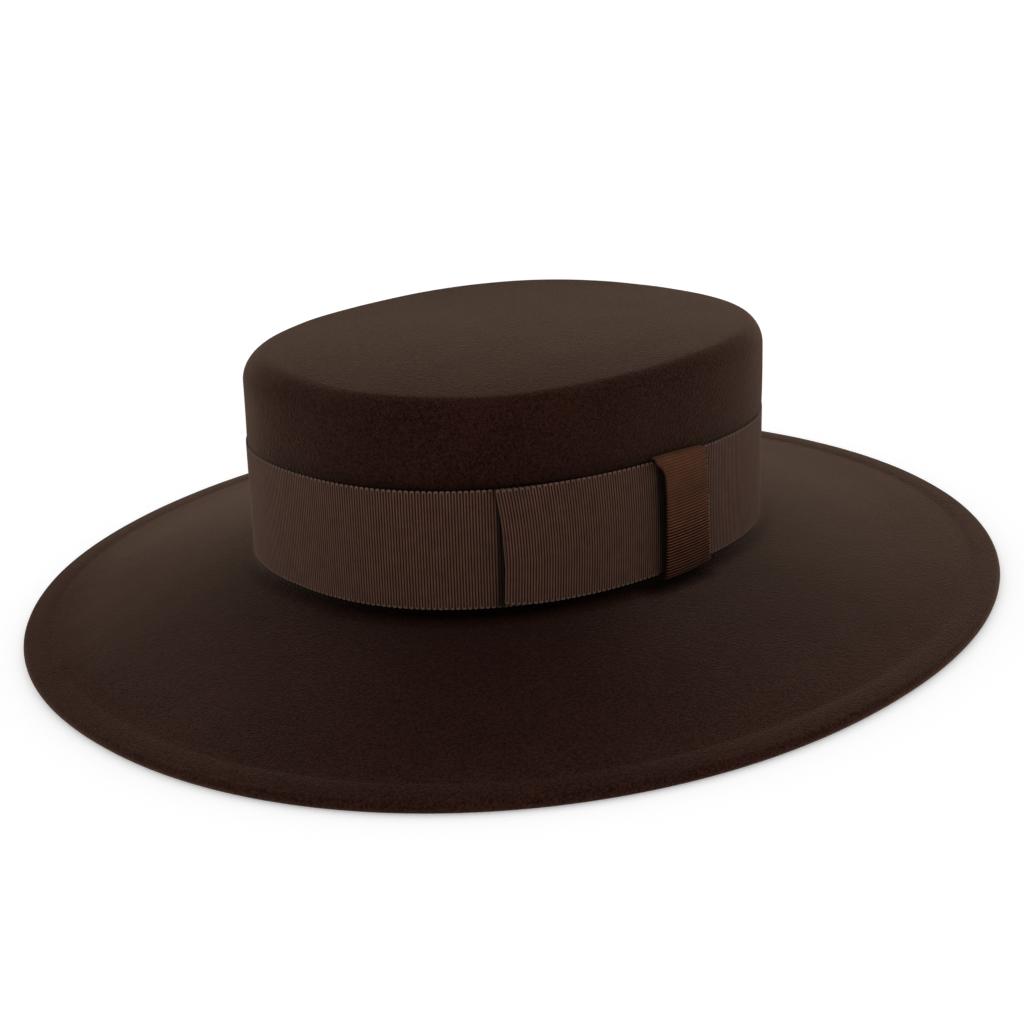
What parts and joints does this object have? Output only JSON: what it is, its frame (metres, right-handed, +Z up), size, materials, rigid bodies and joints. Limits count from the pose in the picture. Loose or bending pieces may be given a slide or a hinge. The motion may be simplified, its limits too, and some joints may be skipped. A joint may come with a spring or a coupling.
{
  "type": "boater hat",
  "caption": "Wide-brimmed boater hat of one-piece blocked felt with a nearly flat tip, straight crown, turned rim, wide ribbed ribbon band and flat side bow.",
  "frame": {"origin": "centre of the brim's rim oval, in the plane that the rim's underside rests on", "axes": "+Z up out of the tip, -Y towards the wearer's front, +X towards the wearer's left, where the bow is"},
  "size_m": [0.3628, 0.3788, 0.1044],
  "materials": {
    "felt": "dark brown wool felt with a short soft nap",
    "ribbon": "dark brown ribbed grosgrain ribbon, slightly lighter than the felt"
  },
  "bodies": {
    "root": {"felt_body": "felt", "hat_band": "ribbon", "bow": "ribbon", "knot": "ribbon"}
  },
  "joints": []
}
